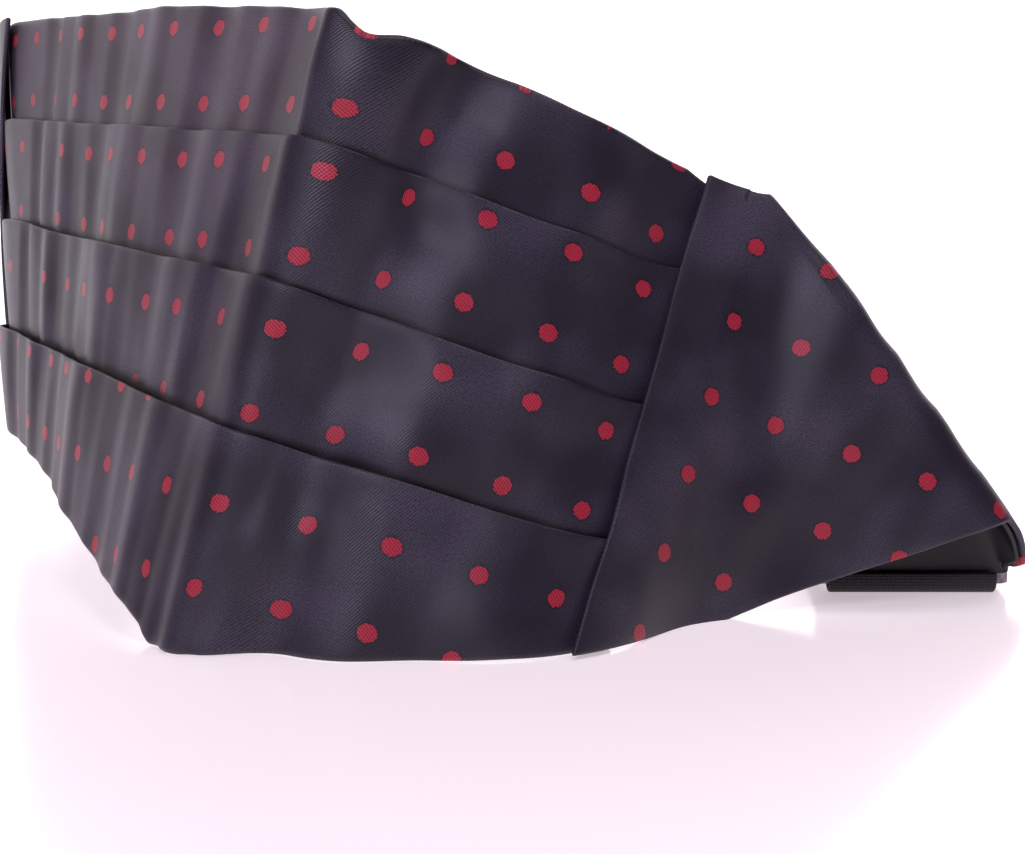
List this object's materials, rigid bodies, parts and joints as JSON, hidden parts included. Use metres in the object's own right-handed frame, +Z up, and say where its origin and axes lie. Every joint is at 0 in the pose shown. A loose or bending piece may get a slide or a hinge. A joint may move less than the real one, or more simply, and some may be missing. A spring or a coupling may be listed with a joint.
{
  "type": "cummerbund",
  "caption": "Pleated satin cummerbund with a woven dot pattern, fastened into a loop and standing on its lower edge, with tapering side wings, a strap slide and a clasp at the back.",
  "frame": {"origin": "middle of the footprint, on the floor under the standing cummerbund", "axes": "+Z up, the right half of the pleated front faces -Y, +X to the right wing and its slide, +Y to the back strap and clasp"},
  "size_m": [0.2366, 0.2566, 0.1185],
  "materials": {
    "satin": "navy-black satin twill with a sheen and woven red dots",
    "lining": "black satin lining",
    "strap": "black woven strap",
    "slide": "dull grey with a purple cast, satin",
    "clasp": "black moulded, matt"
  },
  "bodies": {
    "root": {"pleated_front": "satin", "front_lining": "lining", "right_wing": "satin", "right_wing_lining": "lining", "left_wing": "satin", "left_wing_lining": "lining", "right_tab": "strap", "slide": "slide", "right_strap": "strap", "left_strap": "strap", "clasp": "clasp"}
  },
  "joints": []
}
